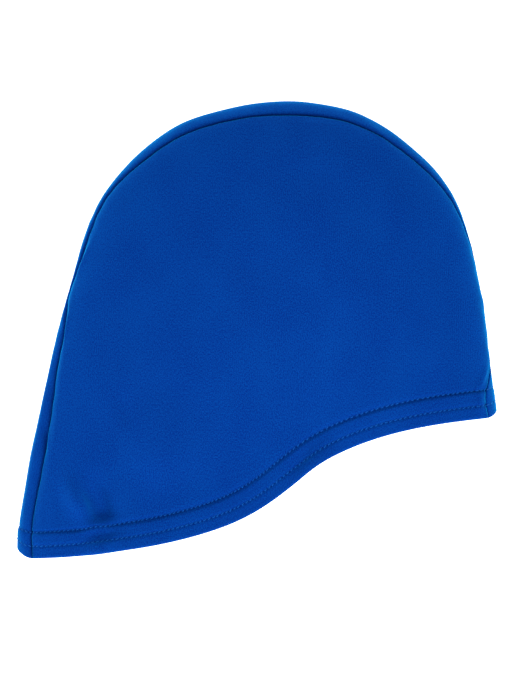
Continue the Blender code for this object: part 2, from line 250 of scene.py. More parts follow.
# How finely the cloth is divided: the steps beside a seam, how fast they grow, and the most
FIRST_STEP = 0.00018
STEP_GROWTH = 1.22
MOST_COLUMN_STEP = {UPPER: 0.00078, LOWER: 0.0012}
MOST_ROW_STEP = {UPPER: 0.0021, LOWER: 0.0032}
STRIP_STEP = 0.0009
STRIP_COLUMN_STEP = 0.0008
HEM_STEPS = 26
TURNED_STEPS = 12
FOLD_STEPS = 8
SAME_POINT = 0.000001
SHARP_ANGLE = 60

# How finely the edge is sampled, how far past its ends, and the steps that find a place or normal
EDGE_SAMPLES = 400
EDGE_OVERRUN = 0.1
PROFILE_SAMPLES = 121
FOOT_STEPS = 3
NORMAL_STEP = 0.00005


def smooth_through(places, values):
    """A natural cubic spline through values at places, straight beyond both ends.

    The function it returns gives the value and the slope at each place asked for.
    """
    places = np.asarray(places, float)
    values = np.asarray(values, float).reshape(len(places), -1)
    steps = np.diff(places)
    slopes = np.diff(values, axis=0) / steps[:, None]
    equations = np.eye(len(places))
    bends = np.zeros_like(values)
    for i in range(1, len(places) - 1):
        equations[i, i - 1:i + 2] = (steps[i - 1], 2 * (steps[i - 1] + steps[i]), steps[i])
        bends[i] = 6 * (slopes[i] - slopes[i - 1])
    bends = np.linalg.solve(equations, bends)

    def at(where):
        where = np.atleast_1d(np.asarray(where, float))
        held = np.clip(where, places[0], places[-1])
        i = np.clip(np.searchsorted(places, held) - 1, 0, len(steps) - 1)
        step = steps[i][:, None]
        right = (held - places[i])[:, None] / step
        left = 1 - right
        bend = (left ** 3 - left) * bends[i] + (right ** 3 - right) * bends[i + 1]
        value = left * values[i] + right * values[i + 1] + bend * step ** 2 / 6
        turn = (1 - 3 * left ** 2) * bends[i] + (3 * right ** 2 - 1) * bends[i + 1]
        slope = slopes[i] + turn * step / 6
        return value + slope * (where - held)[:, None], slope

    return at


def ease(share):
    """Rises smoothly from 0 to 1 as share does."""
    share = np.clip(share, 0, 1)
    return share * share * (3 - 2 * share)


def lengths_along(points):
    """The distance along a row of points to each of them."""
    return np.concatenate([[0], np.cumsum(np.linalg.norm(np.diff(points, axis=0), axis=1))])


def left_of(slopes):
    """The directions a quarter turn to the left of these slopes."""
    slopes = slopes / np.linalg.norm(slopes, axis=1)[:, None]
    return np.stack([-slopes[:, 1], slopes[:, 0]], axis=1)


def waves(count, shortest, longest, seed):
    """A seeded mix of plane waves over the flat map, mostly between -1 and 1."""
    random = np.random.default_rng(seed)
    lengths = random.uniform(shortest, longest, count)
    turns = random.uniform(0, math.pi, count)
    phases = random.uniform(0, 2 * math.pi, count)
    pulls = np.array([np.cos(turns), np.sin(turns)]) * 2 * math.pi / lengths

    def at(points):
        return np.sin(points @ pulls + phases).sum(axis=1) / math.sqrt(count)

    return at


# The edge of the cap and the strip's seams along it
EDGE_POINTS = np.array([(row.x * CAP_LENGTH, row.y * CAP_HEIGHT) for row in EDGE])
EDGE_PLACES = lengths_along(EDGE_POINTS)
EDGE_END = EDGE_PLACES[-1]
edge_line = smooth_through(EDGE_PLACES, EDGE_POINTS)
near_seam_share = smooth_through(EDGE_PLACES, [row.near for row in EDGE])
far_seam_share = smooth_through(EDGE_PLACES, [row.far for row in EDGE])

# The straight line between the two ends of the hem, and the hem's points between them
CHORD_START = EDGE_POINTS[0]
CHORD = EDGE_POINTS[-1] - EDGE_POINTS[0]
CHORD_LENGTH = np.linalg.norm(CHORD)
CHORD_ALONG = CHORD / CHORD_LENGTH
CHORD_UP = np.array((-CHORD_ALONG[1], CHORD_ALONG[0]))
HEM_POINTS = np.array(HEM) * (CAP_LENGTH, CAP_HEIGHT)

mottle = waves(count=14, shortest=0.018, longest=0.060, seed=3)
puckers = waves(count=8, shortest=0.005, longest=0.012, seed=8)


def over_chord(points):
    """Distances along and above the line between the hem's ends."""
    offset = points - CHORD_START
    return offset @ CHORD_ALONG, offset @ CHORD_UP


# The hem's height over that line, as a function of the distance along it
hem_height_at = smooth_through(*over_chord(np.vstack([CHORD_START, HEM_POINTS, EDGE_POINTS[-1]])))


def edge_frame(places):
    """Points of the edge at these distances along it, and the directions into the cap there."""
    points, slopes = edge_line(places)
    return points, -left_of(slopes)


def nearest_on_edge(points):
    """The distance along the edge, or past its ends, to the place nearest each point."""
    samples = np.linspace(-EDGE_OVERRUN, 1 + EDGE_OVERRUN, EDGE_SAMPLES) * EDGE_END
    sampled, _ = edge_line(samples)
    across = points[:, None, 0] - sampled[None, :, 0]
    up = points[:, None, 1] - sampled[None, :, 1]
    places = samples[(across ** 2 + up ** 2).argmin(axis=1)]
    for _ in range(FOOT_STEPS):
        on_edge, slopes = edge_line(places)
        ahead = ((points - on_edge) * slopes).sum(axis=1)
        places = places + ahead / (slopes ** 2).sum(axis=1)
    return places


def from_edge(points):
    """The edge's place, point and inward direction nearest each point, and how far in it is."""
    places = nearest_on_edge(points)
    edge_points, inward = edge_frame(places)
    return places, edge_points, inward, ((points - edge_points) * inward).sum(axis=1)


def edge_rise(points):
    """How high the cap's upper side rises over its edge line, seen from above at these points."""
    _, up = over_chord(points)
    growth = ease(up / (EDGE_GROWTH_REACH * CAP_HEIGHT))
    return HEM_EDGE_RISE + (CROWN_EDGE_RISE - HEM_EDGE_RISE) * growth


def edge_profile(roundness):
    """The section of the cap's edge: an upright quarter ellipse 1 high and as wide as roundness.

    Returns the length of its curve, and a smooth function that gives how far in and how high
    the curve is at each distance along it.
    """
    turns = np.linspace(-math.pi / 2, math.pi / 2, PROFILE_SAMPLES)
    points = np.column_stack([roundness * (1 - np.cos(turns)), np.sin(turns)])
    places = lengths_along(points)
    length = places[-1] / 2
    return length, smooth_through(places - length, points)


Profile = namedtuple("Profile", "roundness height length at")
PROFILES = {
    UPPER: Profile(UPPER_ROUNDNESS, 1, *edge_profile(UPPER_ROUNDNESS)),
    LOWER: Profile(LOWER_ROUNDNESS, EDGE_DROP_SHARE, *edge_profile(LOWER_ROUNDNESS)),
}


def fold_height(points, folds):
    """The height that these folds add at these points."""
    height = np.zeros(len(points))
    for fold in folds:
        offset = points - np.array((fold.x * CAP_LENGTH, fold.y * CAP_HEIGHT))
        lean = math.radians(fold.lean)
        along = offset @ np.array((math.sin(lean), math.cos(lean)))
        across = offset @ np.array((math.cos(lean), -math.sin(lean)))
        spread = (along / fold.half_length) ** 2 + (across / fold.half_width) ** 2
        height += FOLD_RISE * fold.rise * np.exp(-spread / CAP_LENGTH ** 2)
    return height


def upper_height(points, inside):
    """What the upper side has over its edge's rise: the dome, the sagging lip and the folds."""
    along, up = over_chord(points)
    hem_height, _ = hem_height_at(along)
    above_hem = up - hem_height[:, 0]
    middle = np.sin(math.pi * np.clip(along / CHORD_LENGTH, 0, 1)) ** 2
    fading = np.exp(-(above_hem / (LIP_SAG_REACH * CAP_HEIGHT)) ** 2)
    dome = DOME_RISE * ease(inside / (DOME_REACH * CAP_LENGTH))
    return dome - LIP_SAG * middle * fading + fold_height(points, FOLDS)


def skin(points, side):
    """The smooth outer surface over these points of the flat map, on the upper or lower side."""
    profile = PROFILES[side]
    _, edge_points, inward, depth = from_edge(points)
    size = edge_rise(edge_points) * profile.height
    along = depth / size - profile.roundness + profile.length
    shape, _ = profile.at(np.minimum(along, profile.length))
    rounded = along < profile.length
    inside = np.where(rounded, size * shape[:, 0], depth)
    plan = np.where(rounded[:, None], edge_points + inward * inside[:, None], points)
    rise = edge_rise(plan)
    height = rise * (EDGE_DROP_SHARE + side * profile.height * shape[:, 1])
    if side == UPPER:
        height = height + upper_height(plan, inside) * shape[:, 1] ** 2
    return np.column_stack([plan, height])


def cloth(points, side, depth):
    """Points this deep under the smooth outer surface, towards the inside of the cap."""
    right = np.array((NORMAL_STEP, 0))
    up = np.array((0, NORMAL_STEP))
    across = skin(points + right, side) - skin(points - right, side)
    along = skin(points + up, side) - skin(points - up, side)
    outward = side * np.cross(across, along)
    outward /= np.linalg.norm(outward, axis=1)[:, None]
    return skin(points, side) - outward * depth[:, None]


def seam_reach(places, side):
    """How far the strip reaches from the edge onto that side, along the cloth."""
    share = near_seam_share if side == UPPER else far_seam_share
    return STRIP_WIDTH * share(places)[0][:, 0]


def hem_setback(places, reach):
    """How far the strip's cloth is drawn up from the hem as it rolls over to the lower side.

    reach is the distance along the cloth from the edge, above nothing on the upper side.
    """
    near = np.maximum(seam_reach(places, UPPER), CLOTH)
    rolled = np.clip((near - reach) / (SETBACK_ROLL * near), 0, 1)
    drawn = np.sin(math.pi / 2 * rolled) ** 2
    fade = SETBACK_FADE * CAP_HEIGHT
    at_nape = NAPE_HEM_SETBACK * ease(1 - places / fade)
    at_front = FRONT_HEM_SETBACK * ease(1 - (EDGE_END - places) / fade)
    return drawn * (at_nape - at_front)


def edge_to_seam_depth(rise, reach):
    """The flat map's distance from the edge line to a point at this reach along the cloth."""
    upper, lower = PROFILES[UPPER], PROFILES[LOWER]
    over = upper.height * (upper.roundness - upper.length)
    under = lower.height * (lower.roundness - lower.length)
    return rise * np.where(reach >= 0, over, under) + np.abs(reach)


def strip_map(places, reach):
    """The flat map's points of the strip, at these places along it and distances from the edge."""
    drawn = places + hem_setback(places, reach)
    edge_points, inward = edge_frame(drawn)
    depth = edge_to_seam_depth(edge_rise(edge_points), reach)
    return edge_points + inward * depth[:, None]


def seam_map(places, side):
    """The flat map's points of a side panel's seam edge, half a seam gap from the strip's."""
    return strip_map(places, side * (seam_reach(places, side) + SEAM_GAP / 2))


# What the sewing does to the cloth at each point: how high over the hem's edge it is, its share of
# the way from the nape to the front, how far off its seam is, how deep that pulls it in, how far
# off the seam's painted shade takes it to be, how many stitches it is from the hem's start, and the
# shares of the rows' and the fine folds' depth that it has.
Sewing = namedtuple("Sewing", "rise share seam dip shaded stitch rows folds")


def pull_along(column, along):
    """What a column of the seam's pulls says, at these shares of the way along the edge."""
    return np.interp(along, PULLS.place, column)


def seam_dip(seam, pull, flank):
    """How far a seam at this distance pulls the cloth in."""
    return DIP_DEPTH * pull * np.clip(1 - seam / flank, 0, 1) ** DIP_POWER


def painted_seam_shade_offset(along):
    """How far the painted shade of the right panel's seam is put off where the panel is drawn in
    more than the strip.
    """
    more = pull_along(PULLS.panel, along) - pull_along(PULLS.strip, along)
    return PAINTED_SEAM_SHADE_OFFSET * np.maximum(more, 0)


def panel_sewing(plan, side, rise, shares):
    """What the sewing does to points of a side panel's flat map."""
    places, edge_points, _, depth = from_edge(plan)
    seam = depth - edge_to_seam_depth(edge_rise(edge_points), side * seam_reach(places, side))
    seam = np.maximum(seam, 0)
    along = places / EDGE_END
    pull = pull_along(PULLS.panel, along) if side == UPPER else LOWER_PULL
    dip = seam_dip(seam, pull, PANEL_FLANK)
    # The distance that places the painted seam shade
    shaded = seam + painted_seam_shade_offset(along) if side == UPPER else seam
    return Sewing(rise, shares, seam, dip, shaded, shares * HEM_STITCHES, 1, float(side == UPPER))


def strip_sewing(places, reach):
    """What the sewing does to the strip, at these places along it and distances from the edge."""
    along = places / EDGE_END
    near = np.maximum(seam_reach(places, UPPER) - SEAM_GAP / 2 - reach, 0)
    far = np.maximum(seam_reach(places, LOWER) - SEAM_GAP / 2 + reach, 0)
    dip = seam_dip(near, pull_along(PULLS.strip, along), pull_along(PULLS.flank, along))
    dip = dip + seam_dip(far, LOWER_PULL, STRIP_FLANK)
    folds = ease(1 + reach / FINE_FOLD_FADE)
    rise = np.minimum(places, EDGE_END - places)
    # The distance that places the painted seam shade
    shaded = np.minimum(near + painted_seam_shade_offset(along), far)
    seam = np.minimum(near, far)
    return Sewing(rise, along, seam, dip, shaded, reach / PITCH, STRIP_ROW_SHARE, folds)


def between_ends(ends, share):
    """A value of the hem at this share of the way from the nape to the front."""
    return ends.nape + (ends.front - ends.nape) * share


def over_row(sewing, row):
    """How high each point is over a row of stitches."""
    return sewing.rise - between_ends(row, sewing.share)


def rows_nearby(sewing):
    """How near each point is to a row of stitches, from 0 to 1 on it."""
    nearby = 0
    for row in (LOWER_ROW, UPPER_ROW):
        nearby = nearby + np.exp(-(over_row(sewing, row) / ROW_WIDTH) ** 2)
    return nearby


def hem_relief(sewing):
    """How far the hem's flared band stands out, less its rows and the dip under the upper one."""
    above = over_row(sewing, UPPER_ROW)
    flare = between_ends(HEM_FLARE, sewing.share) * (1 - ease(above / FLARE_FADE + 0.5))
    valley = VALLEY_DEPTH * np.exp(-((above + VALLEY_DROP) / VALLEY_WIDTH) ** 2)
    return flare - sewing.rows * (valley + ROW_DEPTH * rows_nearby(sewing))


def seam_relief(plan, sewing):
    """How far the cloth stands out beside the seams: it is pulled in, puckers and has bulk."""
    rolled = np.clip(1 - sewing.seam / GROOVE_WIDTH, 0, 1)
    groove = GROOVE_DEPTH * (1 - np.sqrt(1 - rolled ** 2))
    pucker = PUCKER_HEIGHT * puckers(plan) * np.exp(-(sewing.seam / PUCKER_REACH) ** 2)
    from_front = np.linalg.norm(plan - EDGE_POINTS[-1], axis=1)
    at_front = np.exp(-(from_front / FRONT_REACH) ** 4)
    in_hem = 1 - ease((sewing.rise - HEM_DEPTH) / HEM_DEPTH + 0.5)
    bulk = BULK_HEIGHT * at_front * in_hem * np.exp(-(sewing.seam / BULK_REACH) ** 4)
    return bulk * (sewing.rows == 1) + pucker - sewing.dip - groove


def sewn(plan, side, depth, sewing):
    """Points this deep in the sewn cloth, which lies on the floor where it reaches it."""
    relief = hem_relief(sewing) + seam_relief(plan, sewing) + MOTTLE_HEIGHT * mottle(plan)
    relief = relief + sewing.folds * fold_height(plan, FINE_FOLDS)
    thickness = 2 * CLOTH + HEM_LAYER_GAP
    in_hem = sewing.rise < HEM_DEPTH
    squeeze = ROW_SQUEEZE * sewing.rows * rows_nearby(sewing) * in_hem
    squeeze = squeeze * np.clip(1 - 2 * depth / thickness, -1, 1)
    points = cloth(plan, side, depth + squeeze - relief)
    points[:, 2] = np.maximum(points[:, 2], 0)
    return points


def graded(length, most):
    """Shares of a length, in steps that grow from its start until they reach the most."""
    places = [0.0]
    step = FIRST_STEP
    while places[-1] < length:
        places.append(places[-1] + step)
        step = min(step * STEP_GROWTH, most)
    return np.array(places) / places[-1]


def graded_both(length, most):
    """Shares of a length, in steps that grow from both of its ends."""
    half = graded(length / 2, most) / 2
    return np.concatenate([half, 1 - half[-2::-1]])


def hem_line(rise, side, shares):
    """The flat map's points of a side panel at one distance from its hem's edge."""
    first = seam_map(np.array([0.0]), side)
    last = seam_map(np.array([EDGE_END]), side)
    middle = HEM_POINTS
    if side == LOWER:
        setback = np.linspace(NAPE_HEM_SETBACK, FRONT_HEM_SETBACK, len(middle))
        middle = middle + CHORD_UP * setback[:, None]
    line = np.vstack([first, middle, last])
    places = lengths_along(line)
    points, slopes = smooth_through(places, line)(shares * places[-1])
    raised = points + rise * left_of(slopes)
    start_miss = seam_map(np.array([rise]), side) - raised[:1]
    end_miss = seam_map(np.array([EDGE_END - rise]), side) - raised[-1:]
    near_start = ease(1 - shares / SETBACK_REACH)[:, None]
    near_end = ease(1 - (1 - shares) / SETBACK_REACH)[:, None]
    return raised + start_miss * near_start + end_miss * near_end


# How many stitches each hem has, and each seam's overlock, which starts and ends clear of the hems
HEM_LENGTH = lengths_along(hem_line(0.0, UPPER, np.linspace(0, 1, EDGE_SAMPLES)))[-1]
HEM_STITCHES = round(HEM_LENGTH / PITCH)
STRIP_STITCHES = round(STRIP_WIDTH / PITCH)
OVERLOCK_STITCHES = round((EDGE_END - 2 * HEM_DEPTH) / OVERLOCK_PITCH)
OVERLOCK_START = HEM_DEPTH + ALLOWANCE_START
OVERLOCK_END = EDGE_END - HEM_DEPTH - ALLOWANCE_START


def on_hem(side, rises, shares, depths):
    """Points of a side panel's hem at these rises, shares along it and depths in the cloth."""
    bottom = hem_line(0.0, side, shares)
    top = hem_line(HEM_DEPTH, side, shares)
    plan = bottom + (top - bottom) * (rises / HEM_DEPTH)[:, None]
    sewing = panel_sewing(plan, side, rises, shares)
    return sewn(plan, side, depths, sewing), plan, sewing


# One row of cloth: its distances from the hem's edge and its depths, on the outside and inside
ClothRow = namedtuple("ClothRow", "outer_rise outer_depth inner_rise inner_depth")


def hem_rows():
    """The rows of the turned-up hem, from the raw edge inside, round the fold and up the panel."""
    bend = CLOTH + HEM_LAYER_GAP / 2
    inner_bend = HEM_LAYER_GAP / 2
    rows = [ClothRow(rise, bend * 2, rise, bend + inner_bend)
            for rise in np.linspace(HEM_DEPTH, bend, TURNED_STEPS)]
    for i in range(1, FOLD_STEPS):
        turn = math.pi * (1 - i / FOLD_STEPS)
        sine, cosine = math.sin(turn), math.cos(turn)
        rows.append(ClothRow(bend * (1 - sine), bend * (1 - cosine),
                             bend - inner_bend * sine, bend - inner_bend * cosine))
    rows += [ClothRow(rise, 0, rise, CLOTH) for rise in np.linspace(bend, HEM_DEPTH, HEM_STEPS)]
    return rows


class Grid:
    """The rows of one face of a cloth piece: its points, and what its material reads there."""

    def __init__(self):
        self.points = []
        self.knit = []
        self.sewing = []

    def add(self, points, knit, sewing):
        """Adds a row. knit is where its points are in the flat cloth, across and along its ribs."""
        self.points.append(points)
        self.knit.append(np.column_stack([knit, sewing.stitch]))
        # The material reads these to place its painted shade beside the rows and the seam, and its
        # needle holes
        self.sewing.append(np.column_stack([over_row(sewing, LOWER_ROW),
                                            over_row(sewing, UPPER_ROW), sewing.shaded]))

    def turn_round(self):
        """Puts the columns in the other order."""
        for rows in (self.points, self.knit, self.sewing):
            rows[:] = [row[::-1] for row in rows]


def grid_mesh(name, grids, faces, material):
    """A piece of cloth from the rows of these grids and the faces between them."""
    mesh = bpy.data.meshes.new(name)
    points = np.concatenate([row for grid in grids for row in grid.points])
    mesh.from_pydata(points.tolist(), [], faces)
    for label in ("knit", "sewing"):
        values = np.concatenate([row for grid in grids for row in getattr(grid, label)])
        layer = mesh.attributes.new(label, "FLOAT_VECTOR", "POINT")
        layer.data.foreach_set("vector", values.astype(np.float32).ravel())
    shape = bmesh.new()
    shape.from_mesh(mesh)
    bmesh.ops.remove_doubles(shape, verts=shape.verts, dist=SAME_POINT)
    shape.to_mesh(mesh)
    shape.free()
    return add_piece(mesh, material)


def cloth_piece(name, outer, inner, material):
    """One closed piece of cloth from the grids of its outer and its inner face."""
    rows, columns = len(outer.points), len(outer.points[0])
    under = rows * columns
    corner = np.arange(under).reshape(rows, columns)
    a, b = corner[:-1, :-1].ravel(), corner[:-1, 1:].ravel()
    c, d = corner[1:, 1:].ravel(), corner[1:, :-1].ravel()
    rim = np.concatenate([corner[0, :], corner[1:, -1], corner[-1, -2::-1], corner[-2:0:-1, 0]])
    after = np.roll(rim, -1)
    faces = np.concatenate([
        np.column_stack([a, b, c, d]),
        np.column_stack([a, d, c, b]) + under,
        np.column_stack([after, rim, rim + under, after + under]),
    ])
    return grid_mesh(name, [outer, inner], faces.tolist(), material)


def add_piece(mesh, material):
    """Adds a smooth-shaded piece that rides with the cap."""
    mesh.materials.append(material)
    mesh.shade_smooth()
    mesh.set_sharp_from_angle(angle=math.radians(SHARP_ANGLE))
    piece = bpy.data.objects.new(mesh.name, mesh)
    bpy.context.scene.collection.objects.link(piece)
    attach(piece, "root")
    return piece


def side_panel(name, side, material):
    """A side panel: the rows of its hem, then the rows of its field up to the seam."""
    shares = graded_both(HEM_LENGTH, MOST_COLUMN_STEP[side])
    outer, inner = Grid(), Grid()
    for row in hem_rows():
        for grid, rise, depth in ((outer, row.outer_rise, row.outer_depth),
                                  (inner, row.inner_rise, row.inner_depth)):
            rises = np.full(len(shares), rise)
            grid.add(*on_hem(side, rises, shares, np.full(len(shares), depth)))
    bottom = hem_line(HEM_DEPTH, side, shares)
    top = seam_map(HEM_DEPTH + (EDGE_END - 2 * HEM_DEPTH) * shares, side)
    over_hem = left_of(np.gradient(bottom, axis=0))
    longest = np.linalg.norm(top - bottom, axis=1).max()
    for up in 1 - graded(longest, MOST_ROW_STEP[side])[-2::-1]:
        plan = bottom + (top - bottom) * up
        rise = HEM_DEPTH + np.maximum(((plan - bottom) * over_hem).sum(axis=1), 0)
        sewing = panel_sewing(plan, side, rise, shares)
        outer.add(sewn(plan, side, np.zeros(len(plan)), sewing), plan, sewing)
        inner.add(sewn(plan, side, np.full(len(plan), CLOTH), sewing), plan, sewing)
    if side == LOWER:
        outer.turn_round()
        inner.turn_round()
    return cloth_piece(name, outer, inner, material)


def on_strip(places, reach, depth):
    """Points of the strip at these places along it, distances from the edge and depths."""
    plan = strip_map(places, reach)
    sewing = strip_sewing(places, reach)
    on_upper = sewn(plan, UPPER, depth, sewing)
    on_lower = sewn(plan, LOWER, depth, sewing)
    points = np.where((reach >= 0)[:, None], on_upper, on_lower)
    return points, np.column_stack([reach, places]), sewing


def centre_strip(name, material):
    """The centre strip, from the nape hem over the crown to the front hem."""
    shares = graded_both(STRIP_WIDTH, STRIP_COLUMN_STEP)
    outer, inner = Grid(), Grid()

    def add_row(outer_place, outer_depth, inner_place, inner_depth):
        for grid, place, depth in ((outer, outer_place, outer_depth),
                                   (inner, inner_place, inner_depth)):
            places = np.full(len(shares), place)
            near = seam_reach(places, UPPER) - SEAM_GAP / 2
            far = seam_reach(places, LOWER) - SEAM_GAP / 2
            reach = -far + (near + far) * shares
            grid.add(*on_strip(places, reach, np.full(len(shares), depth)))

    for row in hem_rows():
        add_row(row.outer_rise, row.outer_depth, row.inner_rise, row.inner_depth)
    count = round((EDGE_END - 2 * HEM_DEPTH) / STRIP_STEP)
    for place in np.linspace(HEM_DEPTH, EDGE_END - HEM_DEPTH, count)[1:-1]:
        add_row(place, 0, place, CLOTH)
    for row in reversed(hem_rows()):
        add_row(EDGE_END - row.outer_rise, row.outer_depth,
                EDGE_END - row.inner_rise, row.inner_depth)
    return cloth_piece(name, outer, inner, material)


def tube_faces(count, steps, sides, mirrored=False):
    """The outward faces of closed tubes, whose rings run clockwise as seen from the tube's end.

    Mirrored ones are for rings that run the other way.
    """
    corners = np.arange(count * steps * sides).reshape(count, steps, sides)
    here, ahead = corners[:, :-1], corners[:, 1:]
    walls = np.stack([here, ahead, np.roll(ahead, -1, axis=2), np.roll(here, -1, axis=2)], axis=-1)
    walls = walls.reshape(-1, 4)
    ends = np.concatenate([corners[:, 0], corners[:, -1, ::-1]])
    if mirrored:
        walls = walls[:, [0, 3, 2, 1]]
        ends = ends[:, ::-1]
    return walls.tolist() + ends.tolist()


def threads(name, paths, material, sides):
    """One mesh of round threads, each along its own row of points."""
    paths = np.asarray(paths)
    count, steps, _ = paths.shape
    tangents = np.gradient(paths, axis=1)
    tangents /= np.linalg.norm(tangents, axis=2)[:, :, None]
    least = np.abs(tangents.mean(axis=1)).argmin(axis=1)
    guides = np.eye(3)[least][:, None, :]
    across = np.cross(tangents, guides)
    across /= np.linalg.norm(across, axis=2)[:, :, None]
    upward = np.cross(across, tangents)
    turns = np.arange(sides) * 2 * math.pi / sides
    ring = (across[:, :, None, :] * np.cos(turns)[:, None]
            + upward[:, :, None, :] * np.sin(turns)[:, None])
    points = paths[:, :, None, :] + THREAD_RADIUS * ring
    mesh = bpy.data.meshes.new(name)
    mesh.from_pydata(points.reshape(-1, 3).tolist(), [], tube_faces(count, steps, sides))
    return add_piece(mesh, material)


# The rows of stitches, and how far their threads stand out
STITCH_ROWS = ((LOWER_ROW, LOWER_LIFT), (UPPER_ROW, UPPER_LIFT))


def stitch_shape(count, lift, seed):
    """Where the samples of a row of stitches are, in stitches, with each one's slant and depth.

    The stitches' lengths are uneven, their places half as much and their slants three times.
    """
    random = np.random.default_rng(seed)
    uneven = random.normal(0, STITCH_UNEVENNESS, (3, count, 1))
    along = np.linspace(-1, 1, STITCH_SAMPLES)
    places = np.arange(count)[:, None] + 0.5 + 0.5 * uneven[0]
    places = places + along * STITCH_SHARE / 2 * (1 + uneven[1])
    slant = along * STITCH_SLANT / 2 * (1 + 3 * uneven[2])
    depth = np.broadcast_to(THREAD_BURY * along ** 4 - lift, places.shape)
    return places, slant, depth


def panel_stitches(name, side, material):
    """The two rows of stitches along a side panel's hem."""
    paths = []
    for seed, (row, lift) in enumerate(STITCH_ROWS):
        places, slant, depth = stitch_shape(HEM_STITCHES, lift, seed)
        shares = (places / HEM_STITCHES).ravel()
        rises = between_ends(row, shares) + slant.ravel()
        points, _, _ = on_hem(side, rises, shares, depth.ravel())
        paths.append(points.reshape(*places.shape, 3))
    return threads(name, np.concatenate(paths), material, THREAD_SIDES)


def strip_stitches(name, material):
    """The two rows of stitches across each end of the strip."""
    paths = []
    for row, lift in STITCH_ROWS:
        for at_front in (False, True):
            places, slant, depth = stitch_shape(STRIP_STITCHES, lift, seed=5)
            shares = (places / STRIP_STITCHES).ravel()
            rise = (row.front if at_front else row.nape) + slant.ravel()
            along = EDGE_END - rise if at_front else rise
            near = seam_reach(along, UPPER)
            far = seam_reach(along, LOWER)
            reach = near - (near + far) * shares
            points, _, _ = on_strip(along, reach, depth.ravel())
            paths.append(points.reshape(*places.shape, 3))
    return threads(name, np.concatenate(paths), material, THREAD_SIDES)


def zigzag(count):
    """A thread that runs to and fro: its places in stitches, and its share of the way across."""
    turns = np.linspace(0, count, count * ZIGZAG_SAMPLES + 1)
    return turns, 0.5 + 0.5 * np.sin(2 * math.pi * turns)


def looper_threads(name, side, material):
    """The thread inside a side panel's hem, to and fro between its two rows of stitches.

    It leaves out the first and the last stitch.
    """
    turns, across = zigzag(HEM_STITCHES - 2)
    shares = (turns + 1) / HEM_STITCHES
    lower = between_ends(LOWER_ROW, shares)
    upper = between_ends(UPPER_ROW, shares)
    depth = np.full(len(turns), 2 * CLOTH + HEM_LAYER_GAP + THREAD_RADIUS / 2)
    points, _, _ = on_hem(side, lower + (upper - lower) * across, shares, depth)
    return threads(name, points[None], material, INNER_THREAD_SIDES)


def beside_seam(places, side, away):
    """The strip's distance from the edge, this far from its seam with that side's panel."""
    return side * (seam_reach(places, side) - away)


def round_cornered(wave):
    """A wave from 0 to 1 that stays near its ends, so that two of them draw a rounded oblong."""
    return 0.5 + 0.5 * np.sign(wave) * np.abs(wave) ** 0.5


def allowance(name, side, material):
    """The folded-in edges of the cloth along a seam, inside: a flat ribbon with round corners."""
    turns = np.arange(8) * math.pi / 4 + math.pi / 8
    across = ALLOWANCE_WIDTH * round_cornered(np.cos(turns))
    deep = ALLOWANCE_THICKNESS * round_cornered(np.sin(turns))
    grid = Grid()
    for place in np.linspace(OVERLOCK_START, OVERLOCK_END, OVERLOCK_STITCHES * 2):
        places = np.full(len(turns), place)
        reach = beside_seam(places, side, ALLOWANCE_START + across)
        grid.add(*on_strip(places, reach, CLOTH + deep))
    faces = tube_faces(1, len(grid.points), len(turns), mirrored=side == LOWER)
    return grid_mesh(name, [grid], faces, material)


def overlock_threads(name, side, material):
    """The two threads that run to and fro over a seam's allowance, half a stitch apart."""
    turns, across = zigzag(OVERLOCK_STITCHES)
    depth = np.full(len(turns), CLOTH + ALLOWANCE_THICKNESS + THREAD_RADIUS / 2)
    paths = []
    for shift in (0, 0.5):
        share = (turns + shift) / (OVERLOCK_STITCHES + 1)
        places = OVERLOCK_START + (OVERLOCK_END - OVERLOCK_START) * share
        reach = beside_seam(places, side, ALLOWANCE_START + ALLOWANCE_WIDTH * across)
        points, _, _ = on_strip(places, reach, depth)
        paths.append(points)
    return threads(name, paths, material, INNER_THREAD_SIDES)


# The knit's ribs and courses in metres, and how strongly they, its heathered yarn and the needle
# holes show in its bump
WALE = 0.0009
COURSE = 0.0007
RIB_SHARE = 0.22
COURSE_SHARE = 0.12
HEATHER_SHARE = 0.5
HOLE_SHARE = 1.6
HOLE_POWER = 3.0
KNIT_BUMP = 0.7
KNIT_DEPTH = 0.00014

# The noise in the knit: how far it is drawn out along the ribs, its scale for each metre, its
# detail, and its strength in the colour, or in metres for the wobble of the ribs
NoiseRow = namedtuple("NoiseRow", "stretch scale detail strength")
HEATHER = NoiseRow(1.7, 2300.0, 1.0, 3.2)
PATCHES = NoiseRow(1.4, 45.0, 2.0, 0.8)
SPECKS = NoiseRow(1.0, 3600.0, 0.0, 3.0)
WOBBLE = NoiseRow(2.0, 260.0, 2.0, 0.0018)

# Painted shade beside seams, rows of stitches and needle holes: how dark it is, and how far off it
# reaches in metres
ShadeRow = namedtuple("ShadeRow", "dark width")
SEAM_SHADE = ShadeRow(0.52, 0.00085)
UPPER_ROW_SHADE = ShadeRow(0.20, 0.0009)
LOWER_ROW_SHADE = ShadeRow(0.05, 0.0009)
HOLE_SHADE = ShadeRow(0.42, 0.00042)

# The colours of the darkest and lightest yarn, and of the painted shade beside seams and stitches
YarnRow = namedtuple("YarnRow", "dark light")
PANEL_YARN = YarnRow((0.0007, 0.0215, 0.210), (0.0012, 0.0525, 0.316))
STRIP_YARN = YarnRow((0.0007, 0.0225, 0.215), (0.0012, 0.0545, 0.324))
PAINTED_SHADE_COLOUR = (0.0004, 0.006, 0.080)

# The twist of the threads, in their bump
TWIST_SCALE = 1200
TWIST_DISTORTION = 2
TWIST_BUMP = 0.4
TWIST_DEPTH = 0.00005

